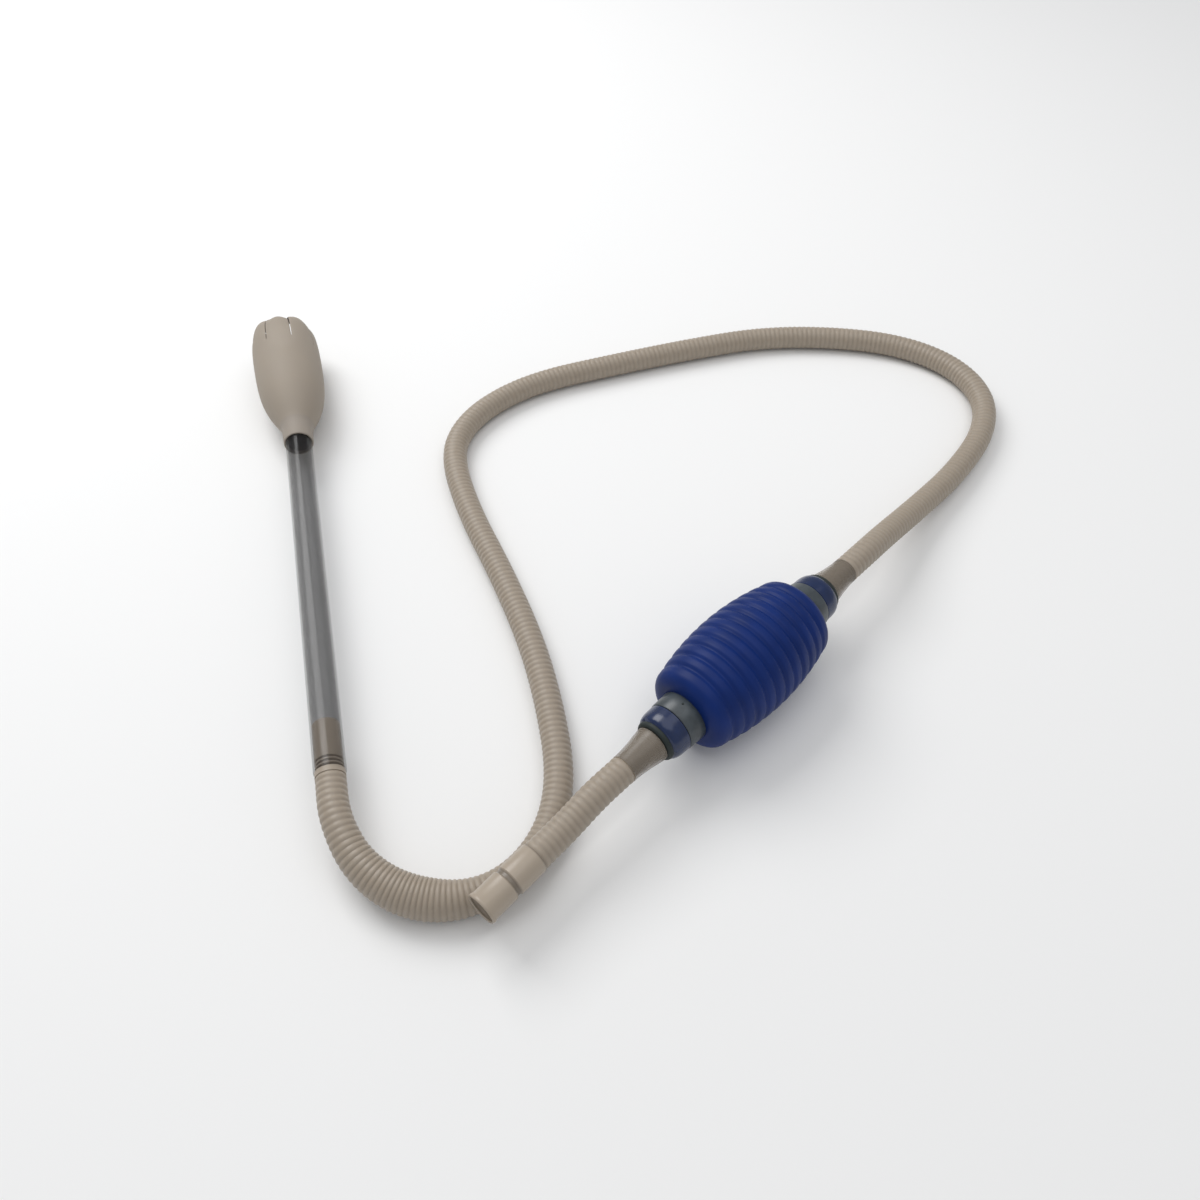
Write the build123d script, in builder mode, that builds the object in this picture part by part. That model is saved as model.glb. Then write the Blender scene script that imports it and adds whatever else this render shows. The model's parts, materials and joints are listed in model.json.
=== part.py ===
"""Gravel vacuum siphon: a strainer on a rigid wand, a ribbed squeeze bulb with two one-way valves, and hoses.

Units are millimetres, +Z is up and the siphon lies on the plane Z = 0.  The wand lies along +Y, and the
bulb's axis is level and turned from +X by BULB_TURN.  The origin is on the floor, under the middle of the
rigid pieces.  Water runs from the strainer through the wand, the intake hose, the bulb and the outlet hose.
"""
import os
from math import cos, pi, radians, sin, tan

from build123d import *

# ---------------------------------------------------------------- driving dimensions
RUNNING_GAP = 0.05  # radial clearance of the pieces that slide or turn in each other

HOSE_RADIUS = 7.5
HOSE_BORE = 6.2

WAND_X = -133.5
WAND_Z = 22.0  # the strainer's largest radius, because it rests on the floor
TUBE_RADIUS = 8.0
TUBE_BORE = 7.0
TUBE_START_Y = -158.0
TUBE_LENGTH = 270.0
TUBE_END_Y = TUBE_START_Y + TUBE_LENGTH
TUBE_EDGE = 0.3  # chamfer that breaks the sharp ends of the tube

TUBE_OVERLAP = 21.0  # the tube runs through the strainer's neck and on into the tulip
NECK_LENGTH = 10.0  # the stretch of the strainer that grips the tube
STRAINER_START_Y = TUBE_END_Y - TUBE_OVERLAP
STRAINER_LENGTH = 107.0
STRAINER_WALL = 1.6
NECK_WALL = 1.2
NECK_SWELL = 0.9  # how far the neck has widened where the tulip begins
STRAINER_MOUTH = 7.0
MOUTH_LIP = 3.0  # how far the petals' tips turn in round the mouth, outside
INNER_LIP = 2.0
FLOOR_CLEARANCE = 0.02  # keeps the tulip's widest ring just above the floor
PETAL_COUNT = 8
PETAL_SLOT_WIDTH = 2.2
PETAL_SLOT_LENGTH = 30.0
PETAL_FIRST_ANGLE = 12.0

CUFF_DEPTH = 28.0  # how far the hose's smooth cuff sits in the wand
CUFF_BORE = 5.6
CUFF_RING_WIDTH = 2.2
CUFF_RING_DEPTH = 0.8
CUFF_TIP_DROP = 0.4
CUFF_TIP_LENGTH = 0.8
CUFF_COLLAR = 3.0  # full-size collar that the wand's end butts against

BULB_X, BULB_Y = 78.5, -148.3
BULB_TURN = 31.4
BULB_HALF_LENGTH = 44.8
BULB_MAX_RADIUS = 28.8
BULB_BARREL_FALL = 0.0034  # the barrel's radius falls by this times the square of the distance
BULB_NECK_RADIUS = 12.4
BULB_END_WALL = 3.0
BULB_WALL = 3.0
BULB_RIB_WALL = 0.6  # added to the wall inside the ribs
SHOULDER_LENGTH = 2.6  # the shoulder rounds over from here to the end face
SHOULDER_DROP = 0.5
FACE_SETBACK = 0.2
FACE_DROP = 3.6
NECK_LIP = 3.0  # width of the flat ring round the neck
RIB_PITCH = 7.05
RIB_GROOVES_EACH_SIDE = 5
GROOVE_HALF_WIDTH = 1.15
GROOVE_DEPTH = 1.7
GROOVE_EDGE = 0.35  # how far the rib has already fallen where its groove begins

COLLAR_SPIGOT = 6.0  # how far the collar reaches into the neck
COLLAR_END = 54.9
COLLAR_BORE = 10.2
COLLAR_RING = 1.5  # the ring's height over the neck at the bulb
COLLAR_RING_FAR = 1.3
COLLAR_EDGE = 0.5
CAP_ROOT = 0.9  # the cap's height over the neck where it meets the collar
CAP_DRAFT = 0.2
CAP_END = 66.0
CAP_BORE = 10.65
CAP_ROUND_LENGTH = 6.0
CAP_ROUND_MIDDLE = (1.6, 1.0)  # back from the mouth and down from the root
CAP_LIP = 0.4
NOZZLE_FLANGE_START = 55.5
NOZZLE_FLANGE_END = 59.0
NOZZLE_RADIUS = 8.0
NOZZLE_BORE = 4.8
NOZZLE_MOUTH = 9.0
NOZZLE_FUNNEL = 4.0  # the bore narrows from its mouth over the flange and this far past it
NOZZLE_SETBACK = 2.0  # the nozzle stops short of the hose's flare
GASKET_END = 67.4
GASKET_RADIUS = 10.6
GASKET_EDGE = 0.6
HOSE_END_START = 71.0
HOSE_END_FINISH = 88.0
FLARE_OUTLINE = [(0, 1.7), (4, 1.5), (10, 0.7)]  # along the flare, and over the hose's radius
BARB_CORE = 5.9
BARB_TIP = 6.3
BARB_COUNT = 4

SEAT_THICKNESS = 2.0
SEAT_LIP = 0.6
SEAT_LIP_WIDTH = 1.2
SEAT_PORT = 5.5
INLET_SEAT_FACE = 51.0  # the face that the flap closes on, from the bulb's middle
OUTLET_SEAT_FACE = 46.0
FLAP_RADIUS = 6.9
FLAP_THICKNESS = 1.2
FLAP_HINGE_HEIGHT = 8.0
FLAP_HINGE_RADIUS = 0.8
FLAP_HINGE_LENGTH = 8.6
FLAP_TAB_PLAY = 0.8  # side play of the flap's tab between the lugs
HINGE_LUG_RADIUS = 1.25
HINGE_LUG_WIDTH = 1.4
HINGE_LUG_SPACING = 6.4

OUTLET_CUFF_RADIUS = 7.9
OUTLET_CUFF_BORE = 6.4
OUTLET_CUFF_LENGTH = 34.0
OUTLET_CUFF_ROOT = 1.2
OUTLET_CUFF_GROOVE = 1.6
OUTLET_CUFF_GROOVE_DEPTH = 0.7
OUTLET_CUFF_LIP = 8.3
OUTLET_CUFF_LIP_START = 2.4
OUTLET_CUFF_LIP_EDGE = 0.8
OUTLET_CUFF_TIP = 0.4

# Routes of the two hoses, one point where each run meets the next.
INTAKE_ROUTE = [
    (WAND_X, -161, WAND_Z),
    (WAND_X, -184, WAND_Z),
    (-125.5, -207.5, 15.5),
    (-107, -224.5, 9),
    (-82, -232, 7.5),
    (-56.5, -225.5, 7.5),
    (-35.5, -206, 7.5),
    (-24, -177, 7.5),
    (-21, -134, 7.5),
    (-22, -92, 7.5),
    (-29, -40, 7.5),
    (-39, 13, 7.5),
    (-42, 62, 7.5),
    (-31, 89, 7.5),
    (-7, 110, 7.5),
    (28, 124, 7.5),
    (79, 129, 7.5),
    (135, 133, 7.5),
    (191, 134, 7.5),
    (242, 121.5, 7.5),
    (283, 102, 7.5),
    (309, 72.5, 7.5),
    (315, 37, 7.5),
    (299, 4, 7.5),
    (262, -28, 8.5),
    (223, -54, 13),
    (188, -79, 23.5),
]
OUTLET_ROUTE = [
    (-29.6, -214.9, 24.8),
    (-46.3, -225.7, 24.2),
]
HOSE_LEAD = 20.0  # each hose leaves its nozzle straight for this far

# Distances from the strainer's rim, and radii.
NECK_RADIUS = TUBE_RADIUS + NECK_WALL
OUTER_TULIP = [
    (8, NECK_RADIUS + NECK_SWELL),
    (14, 13.0),
    (22, 16.4),
    (34, 19.8),
    (52, 21.4),
    (72, WAND_Z - FLOOR_CLEARANCE),
    (92, 21.1),
]
TULIP_SHOULDER = (102.5, 18.2)

# ---------------------------------------------------------------- values worked out from them
BULB_AXIS = Vector(cos(radians(BULB_TURN)), sin(radians(BULB_TURN)), 0)


def barrel_radius(distance):
    """Radius over the rib tops, at a distance from the bulb's middle."""
    return BULB_MAX_RADIUS - BULB_BARREL_FALL * distance**2


BULB_Z = barrel_radius(RIB_PITCH / 2)
BULB_CENTRE = Vector(BULB_X, BULB_Y, BULB_Z)
BULB_GAUGE = barrel_radius(BULB_HALF_LENGTH)  # the barrel's radius carried on to its ends


def axial_plane(origin, direction):
    """Plane for a turned piece's profile: local X runs along its axis and local Y is its radius, upwards."""
    direction = Vector(*direction)
    return Plane(origin=origin, x_dir=direction, z_dir=direction.cross(Vector(0, 0, 1)))


def turning_axis(plane):
    return Axis(plane.origin, plane.x_dir)


WAND_PLANE = axial_plane((WAND_X, TUBE_START_Y, WAND_Z), (0, 1, 0))
STRAINER_PLANE = axial_plane((WAND_X, STRAINER_START_Y, WAND_Z), (0, 1, 0))
INLET_PLANE = axial_plane(BULB_CENTRE, BULB_AXIS)
OUTLET_PLANE = axial_plane(BULB_CENTRE, -BULB_AXIS)


def along_bulb(plane, distance):
    """Point on the bulb's axis, as a tuple."""
    point = plane.origin + plane.x_dir * distance
    return (point.X, point.Y, point.Z)


LEAD_END = HOSE_END_FINISH + HOSE_LEAD
INLET_LEAD = [along_bulb(INLET_PLANE, LEAD_END), along_bulb(INLET_PLANE, HOSE_END_FINISH)]
OUTLET_LEAD = [along_bulb(OUTLET_PLANE, HOSE_END_FINISH), along_bulb(OUTLET_PLANE, LEAD_END)]
INTAKE_POINTS = INTAKE_ROUTE + INLET_LEAD
OUTLET_POINTS = OUTLET_LEAD + OUTLET_ROUTE


def corner_radii(points):
    """Each corner's arc takes 0.45 of its shorter run."""
    radii = []
    for before, here, after in zip(points, points[1:], points[2:]):
        run_in = Vector(*here) - Vector(*before)
        run_out = Vector(*after) - Vector(*here)
        half_turn = radians(run_in.get_angle(run_out)) / 2
        radii.append(0.45 * min(run_in.length, run_out.length) / tan(half_turn))
    return radii


def report_hose(name, part, length, radii):
    """Print a hose's arcs in hose diameters, and its volume against its section times its length."""
    section = pi * (HOSE_RADIUS**2 - HOSE_BORE**2)
    tightest = min(radii) / (2 * HOSE_RADIUS)
    print(name, "length", round(length, 1), "arc radii", [round(r) for r in radii])
    print(name, "tightest arc, diameters", round(tightest, 2))
    print(name, "volume ratio", round(part.volume / section / length, 4))


def save(builder, label):
    builder.part.label = label
    export_step(builder.part, f"parts/{label}.step")


os.makedirs("parts", exist_ok=True)

# ---------------------------------------------------------------- wand
with BuildPart() as wand_tube:
    with BuildSketch(Plane(origin=WAND_PLANE.origin, z_dir=(0, 1, 0))):
        Circle(TUBE_RADIUS)
        Circle(TUBE_BORE, mode=Mode.SUBTRACT)
    extrude(amount=TUBE_LENGTH)
    tube_rims = wand_tube.edges().filter_by(GeomType.CIRCLE)
    chamfer(tube_rims.filter_by(lambda rim: abs(rim.radius - TUBE_RADIUS) < RUNNING_GAP), TUBE_EDGE)
save(wand_tube, "wand_tube")

# ---------------------------------------------------------------- strainer: a tulip of petals round a mouth
with BuildPart() as strainer_guard:
    with BuildSketch(STRAINER_PLANE):
        with BuildLine():
            Line((0, TUBE_RADIUS + RUNNING_GAP), (0, NECK_RADIUS))
            mouth_edge = (STRAINER_LENGTH, STRAINER_MOUTH + MOUTH_LIP)
            Spline((0, NECK_RADIUS), *OUTER_TULIP, TULIP_SHOULDER, mouth_edge)
            Polyline(
                mouth_edge,
                (STRAINER_LENGTH, STRAINER_MOUTH),
                (STRAINER_LENGTH - STRAINER_WALL, STRAINER_MOUTH),
                (STRAINER_LENGTH - STRAINER_WALL, STRAINER_MOUTH + INNER_LIP),
            )
            inner_tulip = [(distance, radius - STRAINER_WALL) for distance, radius in OUTER_TULIP[1:]]
            Spline(
                (STRAINER_LENGTH - STRAINER_WALL, STRAINER_MOUTH + INNER_LIP),
                (TULIP_SHOULDER[0] - STRAINER_WALL, TULIP_SHOULDER[1] - STRAINER_WALL),
                *reversed(inner_tulip),
                (NECK_LENGTH, TUBE_RADIUS + RUNNING_GAP),
            )
            Line((NECK_LENGTH, TUBE_RADIUS + RUNNING_GAP), (0, TUBE_RADIUS + RUNNING_GAP))
        make_face()
    revolve(axis=turning_axis(STRAINER_PLANE))
    mouth_plane = Plane(origin=(WAND_X, STRAINER_START_Y + STRAINER_LENGTH, WAND_Z), z_dir=(0, 1, 0))
    with BuildSketch(mouth_plane):
        with PolarLocations(WAND_Z, PETAL_COUNT, start_angle=PETAL_FIRST_ANGLE):
            Rectangle(2 * (WAND_Z - PETAL_SLOT_WIDTH), PETAL_SLOT_WIDTH)
    extrude(amount=-PETAL_SLOT_LENGTH, mode=Mode.SUBTRACT)
save(strainer_guard, "strainer_guard")

# ---------------------------------------------------------------- hose cuff inside the wand
CUFF_RADIUS = TUBE_BORE - RUNNING_GAP
with BuildPart() as wand_cuff:
    with BuildSketch(WAND_PLANE):
        with BuildLine():
            Polyline(
                (CUFF_DEPTH, CUFF_BORE),
                (CUFF_DEPTH, CUFF_RADIUS - CUFF_TIP_DROP),
                (CUFF_DEPTH - CUFF_TIP_LENGTH, CUFF_RADIUS),
                (3 * CUFF_RING_WIDTH, CUFF_RADIUS),
                (2.5 * CUFF_RING_WIDTH, CUFF_RADIUS - CUFF_RING_DEPTH),
                (2 * CUFF_RING_WIDTH, CUFF_RADIUS),
                (1.5 * CUFF_RING_WIDTH, CUFF_RADIUS - CUFF_RING_DEPTH),
                (CUFF_RING_WIDTH, CUFF_RADIUS),
                (0, CUFF_RADIUS),
                (0, HOSE_RADIUS),
                (-CUFF_COLLAR, HOSE_RADIUS),
                (-CUFF_COLLAR, CUFF_BORE),
                close=True,
            )
        make_face()
    revolve(axis=turning_axis(WAND_PLANE))
save(wand_cuff, "wand_cuff")

# ---------------------------------------------------------------- squeeze bulb
with BuildPart() as squeeze_bulb:
    with BuildSketch(INLET_PLANE):
        grooves = [RIB_PITCH * step for step in range(-RIB_GROOVES_EACH_SIDE, RIB_GROOVES_EACH_SIDE + 1)]
        shoulder_top = barrel_radius(grooves[-1]) - GROOVE_EDGE
        face_radius = BULB_GAUGE - FACE_DROP
        with BuildLine():
            for centre in grooves:
                radius = barrel_radius(centre) - GROOVE_EDGE
                ThreePointArc(
                    (centre - GROOVE_HALF_WIDTH, radius),
                    (centre, barrel_radius(centre) - GROOVE_DEPTH),
                    (centre + GROOVE_HALF_WIDTH, radius),
                )
            for left, right in zip(grooves, grooves[1:]):
                middle = (left + right) / 2
                ThreePointArc(
                    (left + GROOVE_HALF_WIDTH, barrel_radius(left) - GROOVE_EDGE),
                    (middle, barrel_radius(middle)),
                    (right - GROOVE_HALF_WIDTH, barrel_radius(right) - GROOVE_EDGE),
                )
            for side in (-1, 1):
                ThreePointArc(
                    (side * (grooves[-1] + GROOVE_HALF_WIDTH), shoulder_top),
                    (side * (BULB_HALF_LENGTH - SHOULDER_LENGTH), BULB_GAUGE - SHOULDER_DROP),
                    (side * (BULB_HALF_LENGTH - FACE_SETBACK), face_radius),
                )
                Polyline(
                    (side * (BULB_HALF_LENGTH - FACE_SETBACK), face_radius),
                    (side * BULB_HALF_LENGTH, BULB_NECK_RADIUS + NECK_LIP),
                    (side * BULB_HALF_LENGTH, BULB_NECK_RADIUS),
                    (side * (BULB_HALF_LENGTH - BULB_END_WALL), BULB_NECK_RADIUS),
                    (side * (BULB_HALF_LENGTH - BULB_END_WALL), face_radius - BULB_WALL),
                )
            ThreePointArc(
                (BULB_END_WALL - BULB_HALF_LENGTH, face_radius - BULB_WALL),
                (0, BULB_MAX_RADIUS - BULB_WALL - BULB_RIB_WALL),
                (BULB_HALF_LENGTH - BULB_END_WALL, face_radius - BULB_WALL),
            )
        make_face()
    revolve(axis=turning_axis(INLET_PLANE))
save(squeeze_bulb, "squeeze_bulb")


# ---------------------------------------------------------------- the connector at each end of the bulb
def turn_collar(plane, label):
    """Translucent collar: a spigot in the bulb's neck and a ring that the bulb's end face butts against."""
    with BuildPart() as collar:
        with BuildSketch(plane):
            with BuildLine():
                Polyline(
                    (BULB_HALF_LENGTH - COLLAR_SPIGOT, COLLAR_BORE),
                    (BULB_HALF_LENGTH - COLLAR_SPIGOT, BULB_NECK_RADIUS - RUNNING_GAP),
                    (BULB_HALF_LENGTH, BULB_NECK_RADIUS - RUNNING_GAP),
                    (BULB_HALF_LENGTH, BULB_NECK_RADIUS + COLLAR_RING),
                    (COLLAR_END - COLLAR_EDGE, BULB_NECK_RADIUS + COLLAR_RING_FAR),
                    (COLLAR_END, BULB_NECK_RADIUS + CAP_ROOT),
                    (COLLAR_END, COLLAR_BORE),
                    close=True,
                )
            make_face()
        revolve(axis=turning_axis(plane))
    save(collar, label)


def turn_cap(plane, label):
    """Glossy cap over the nozzle's flange, rounded towards its mouth."""
    root_radius = BULB_NECK_RADIUS + CAP_ROOT
    round_back, round_down = CAP_ROUND_MIDDLE
    with BuildPart() as cap:
        with BuildSketch(plane):
            with BuildLine():
                Line((COLLAR_END, CAP_BORE), (COLLAR_END, root_radius))
                Line((COLLAR_END, root_radius), (CAP_END - CAP_ROUND_LENGTH, root_radius - CAP_DRAFT))
                ThreePointArc(
                    (CAP_END - CAP_ROUND_LENGTH, root_radius - CAP_DRAFT),
                    (CAP_END - round_back, root_radius - round_down),
                    (CAP_END, CAP_BORE + CAP_LIP),
                )
                Polyline((CAP_END, CAP_BORE + CAP_LIP), (CAP_END, CAP_BORE), (COLLAR_END, CAP_BORE))
            make_face()
        revolve(axis=turning_axis(plane))
    save(cap, label)


def turn_gasket(plane, label):
    """Dark rubber ring that seals the nozzle in the cap."""
    with BuildPart() as gasket:
        with BuildSketch(plane):
            with BuildLine():
                Polyline(
                    (NOZZLE_FLANGE_END, NOZZLE_RADIUS),
                    (NOZZLE_FLANGE_END, GASKET_RADIUS),
                    (GASKET_END - GASKET_EDGE, GASKET_RADIUS),
                    (GASKET_END, GASKET_RADIUS - GASKET_EDGE),
                    (GASKET_END, NOZZLE_RADIUS),
                    close=True,
                )
            make_face()
        revolve(axis=turning_axis(plane))
    save(gasket, label)


def turn_nozzle(plane, label):
    """Clear nozzle: a flange in the cap, a plain waist, and barbs that hold the hose."""
    nozzle_end = HOSE_END_FINISH - NOZZLE_SETBACK
    barb_pitch = (nozzle_end - HOSE_END_START) / BARB_COUNT
    barbs = []
    for step in range(BARB_COUNT):
        start = HOSE_END_START + step * barb_pitch
        barbs += [(start, BARB_TIP), (start + barb_pitch, BARB_CORE)]
    with BuildPart() as nozzle:
        with BuildSketch(plane):
            with BuildLine():
                Polyline(
                    (NOZZLE_FLANGE_START, NOZZLE_MOUTH),
                    (NOZZLE_FLANGE_START, GASKET_RADIUS),
                    (NOZZLE_FLANGE_END, GASKET_RADIUS),
                    (NOZZLE_FLANGE_END, NOZZLE_RADIUS),
                    (HOSE_END_START, NOZZLE_RADIUS),
                    *barbs,
                    (nozzle_end, NOZZLE_BORE),
                    (NOZZLE_FLANGE_END + NOZZLE_FUNNEL, NOZZLE_BORE),
                    close=True,
                )
            make_face()
        revolve(axis=turning_axis(plane))
    save(nozzle, label)


def turn_hose_end(plane, label):
    """Smooth flared end of a hose, pushed over the nozzle's barbs and tapering to the hose's own size."""
    with BuildPart() as hose_end:
        with BuildSketch(plane):
            with BuildLine():
                flare = [(HOSE_END_START + along, HOSE_RADIUS + swell) for along, swell in FLARE_OUTLINE]
                Line((HOSE_END_START, BARB_TIP), flare[0])
                Spline(*flare, (HOSE_END_FINISH, HOSE_RADIUS))
                Polyline(
                    (HOSE_END_FINISH, HOSE_RADIUS),
                    (HOSE_END_FINISH, BARB_TIP),
                    (HOSE_END_START, BARB_TIP),
                )
            make_face()
        revolve(axis=turning_axis(plane))
    save(hose_end, label)


def cut_valve_seat(plane, face, closes_outwards, label):
    """Disc with a port, a raised lip that the flap closes on, and two lugs for the flap's hinge.

    closes_outwards is 1 where the flap lies on the side away from the bulb's middle, and -1 on the near side.
    """
    lug_reach = FLAP_THICKNESS / 2 + SEAT_LIP + SEAT_THICKNESS / 2
    with BuildPart() as seat:
        with BuildSketch(plane):
            with BuildLine():
                lip_face = face - closes_outwards * RUNNING_GAP
                disc_face = lip_face - closes_outwards * SEAT_LIP
                Polyline(
                    (lip_face, SEAT_PORT),
                    (lip_face, SEAT_PORT + SEAT_LIP_WIDTH),
                    (disc_face, SEAT_PORT + SEAT_LIP_WIDTH),
                    (disc_face, COLLAR_BORE),
                    (disc_face - closes_outwards * SEAT_THICKNESS, COLLAR_BORE),
                    (disc_face - closes_outwards * SEAT_THICKNESS, SEAT_PORT),
                    close=True,
                )
            make_face()
        revolve(axis=turning_axis(plane))
        hinge_distance = face + closes_outwards * FLAP_THICKNESS / 2
        lug_plane = Plane(
            origin=plane.origin + plane.x_dir * hinge_distance + Vector(0, 0, FLAP_HINGE_HEIGHT),
            x_dir=plane.x_dir,
            z_dir=plane.z_dir,
        )
        for side in (-1, 1):
            with BuildSketch(lug_plane.offset(side * HINGE_LUG_SPACING / 2)):
                Circle(HINGE_LUG_RADIUS)
                with Locations((-closes_outwards * lug_reach / 2, 0)):
                    Rectangle(lug_reach, 2 * HINGE_LUG_RADIUS)
                Circle(FLAP_HINGE_RADIUS + RUNNING_GAP, mode=Mode.SUBTRACT)
            extrude(amount=HINGE_LUG_WIDTH / 2, both=True)
    save(seat, label)


def cut_flap(plane, face, closes_outwards, label):
    """Rubber flap that hangs on its hinge and closes the seat's port."""
    hinge_distance = face + closes_outwards * FLAP_THICKNESS / 2
    flap_centre = plane.origin + plane.x_dir * hinge_distance
    with BuildPart() as flap:
        with BuildSketch(Plane(origin=flap_centre, x_dir=(0, 0, 1), z_dir=plane.x_dir)):
            Circle(FLAP_RADIUS)
            with Locations((FLAP_HINGE_HEIGHT / 2, 0)):
                Rectangle(FLAP_HINGE_HEIGHT, HINGE_LUG_SPACING - HINGE_LUG_WIDTH - FLAP_TAB_PLAY)
        extrude(amount=FLAP_THICKNESS / 2, both=True)
        hinge_centre = flap_centre + Vector(0, 0, FLAP_HINGE_HEIGHT)
        with BuildSketch(Plane(origin=hinge_centre, x_dir=plane.x_dir, z_dir=plane.z_dir)):
            Circle(FLAP_HINGE_RADIUS)
        extrude(amount=FLAP_HINGE_LENGTH / 2, both=True)
    save(flap, label)


for end, end_plane in (("inlet", INLET_PLANE), ("outlet", OUTLET_PLANE)):
    turn_collar(end_plane, f"{end}_collar")
    turn_cap(end_plane, f"{end}_cap")
    turn_gasket(end_plane, f"{end}_gasket")
    turn_nozzle(end_plane, f"{end}_nozzle")
    turn_hose_end(end_plane, f"{end}_hose_end")

cut_valve_seat(INLET_PLANE, INLET_SEAT_FACE, -1, "inlet_valve_seat")
cut_flap(INLET_PLANE, INLET_SEAT_FACE, -1, "inlet_flap")
cut_valve_seat(OUTLET_PLANE, OUTLET_SEAT_FACE, 1, "outlet_valve_seat")
cut_flap(OUTLET_PLANE, OUTLET_SEAT_FACE, 1, "outlet_flap")


# ---------------------------------------------------------------- hoses
def sweep_hose(points, label):
    radii = corner_radii(points)
    first_run = Vector(*points[1]) - Vector(*points[0])
    with BuildPart() as hose:
        with BuildLine() as route:
            FilletPolyline(*points, radius=radii)
        with BuildSketch(Plane(origin=points[0], z_dir=first_run)):
            Circle(HOSE_RADIUS)
            Circle(HOSE_BORE, mode=Mode.SUBTRACT)
        sweep(path=route.wires()[0])
    report_hose(label, hose.part, route.wires()[0].length, radii)
    save(hose, label)


sweep_hose(INTAKE_POINTS, "intake_hose")
sweep_hose(OUTLET_POINTS, "outlet_hose")

# ---------------------------------------------------------------- free end of the outlet hose
last_run = Vector(*OUTLET_POINTS[-1]) - Vector(*OUTLET_POINTS[-2])
CUFF_PLANE = Plane(origin=OUTLET_POINTS[-1], x_dir=last_run, z_dir=last_run.cross(Vector(0, 0, 1)))
with BuildPart() as outlet_cuff:
    with BuildSketch(CUFF_PLANE):
        middle = OUTLET_CUFF_LENGTH / 2
        with BuildLine():
            Polyline(
                (0, OUTLET_CUFF_BORE),
                (0, HOSE_RADIUS),
                (OUTLET_CUFF_ROOT, OUTLET_CUFF_RADIUS),
                (middle - OUTLET_CUFF_GROOVE, OUTLET_CUFF_RADIUS),
                (middle, OUTLET_CUFF_RADIUS - OUTLET_CUFF_GROOVE_DEPTH),
                (middle + OUTLET_CUFF_GROOVE, OUTLET_CUFF_RADIUS),
                (OUTLET_CUFF_LENGTH - OUTLET_CUFF_LIP_START, OUTLET_CUFF_RADIUS),
                (OUTLET_CUFF_LENGTH - OUTLET_CUFF_LIP_START + OUTLET_CUFF_LIP_EDGE, OUTLET_CUFF_LIP),
                (OUTLET_CUFF_LENGTH - OUTLET_CUFF_TIP, OUTLET_CUFF_LIP),
                (OUTLET_CUFF_LENGTH, OUTLET_CUFF_LIP - OUTLET_CUFF_TIP),
                (OUTLET_CUFF_LENGTH, OUTLET_CUFF_BORE),
                close=True,
            )
        make_face()
    revolve(axis=turning_axis(CUFF_PLANE))
save(outlet_cuff, "outlet_cuff")
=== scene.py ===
"""Gravel vacuum siphon: the finished pieces of the strainer, wand, hoses, squeeze bulb and its connectors.

Everything is in metres, in the frame of the CAD model.  Outlines are in millimetres: a distance along the
piece's own axis, and a radius.
"""

import json
from bisect import bisect_right
from math import atan2, cos, exp, pi, radians, sin, tan, tau

import bmesh
import bpy
from bpy.props import FloatProperty, FloatVectorProperty, PointerProperty
from mathutils import Matrix, Vector


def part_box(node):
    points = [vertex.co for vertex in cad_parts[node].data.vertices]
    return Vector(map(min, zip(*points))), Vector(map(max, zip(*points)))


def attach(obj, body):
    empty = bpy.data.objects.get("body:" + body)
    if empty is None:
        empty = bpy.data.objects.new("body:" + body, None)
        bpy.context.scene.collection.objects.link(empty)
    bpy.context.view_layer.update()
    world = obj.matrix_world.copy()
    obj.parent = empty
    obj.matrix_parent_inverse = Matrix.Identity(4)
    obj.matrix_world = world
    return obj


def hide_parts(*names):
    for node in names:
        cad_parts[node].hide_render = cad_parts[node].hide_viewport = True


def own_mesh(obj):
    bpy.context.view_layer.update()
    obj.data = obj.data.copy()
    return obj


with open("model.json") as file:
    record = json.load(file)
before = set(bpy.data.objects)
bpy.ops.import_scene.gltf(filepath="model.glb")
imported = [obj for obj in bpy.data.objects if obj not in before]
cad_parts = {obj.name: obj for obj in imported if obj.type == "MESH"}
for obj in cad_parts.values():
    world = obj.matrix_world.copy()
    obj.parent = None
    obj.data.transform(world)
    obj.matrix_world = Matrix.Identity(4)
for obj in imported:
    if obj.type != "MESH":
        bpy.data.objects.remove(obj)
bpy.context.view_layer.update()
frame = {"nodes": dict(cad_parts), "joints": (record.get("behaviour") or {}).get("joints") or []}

bl_info = {
    "name": "Gravel Vacuum Siphon",
    "version": (1, 0, 0),
    "blender": (4, 5, 0),
    "location": "3D View > Sidebar > Siphon",
    "description": "Builds an aquarium siphon with a slotted strainer, a squeeze bulb and corrugated hoses",
    "category": "Add Mesh",
}

MM = 0.001
ROUND_STEPS = 96  # faces round a turned piece
SHARP_ANGLE = radians(38)

# ---------------------------------------------------------------- places, from the CAD frame
joints = {joint["name"]: joint for joint in frame["joints"]}
BULB_AXIS = Vector(joints["bulb_squeeze"]["axis"]).normalized()
bulb_low, bulb_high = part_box("squeeze_bulb")
BULB_CENTRE = (bulb_low + bulb_high) / 2
tube_low, tube_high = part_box("wand_tube")
WAND_FOOT = Vector(((tube_low.x + tube_high.x) / 2, tube_low.y, (tube_low.z + tube_high.z) / 2))
TUBE_LENGTH_MM = (tube_high.y - tube_low.y) / MM
STRAINER_FOOT = Vector((WAND_FOOT.x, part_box("strainer_guard")[0].y, WAND_FOOT.z))

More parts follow.
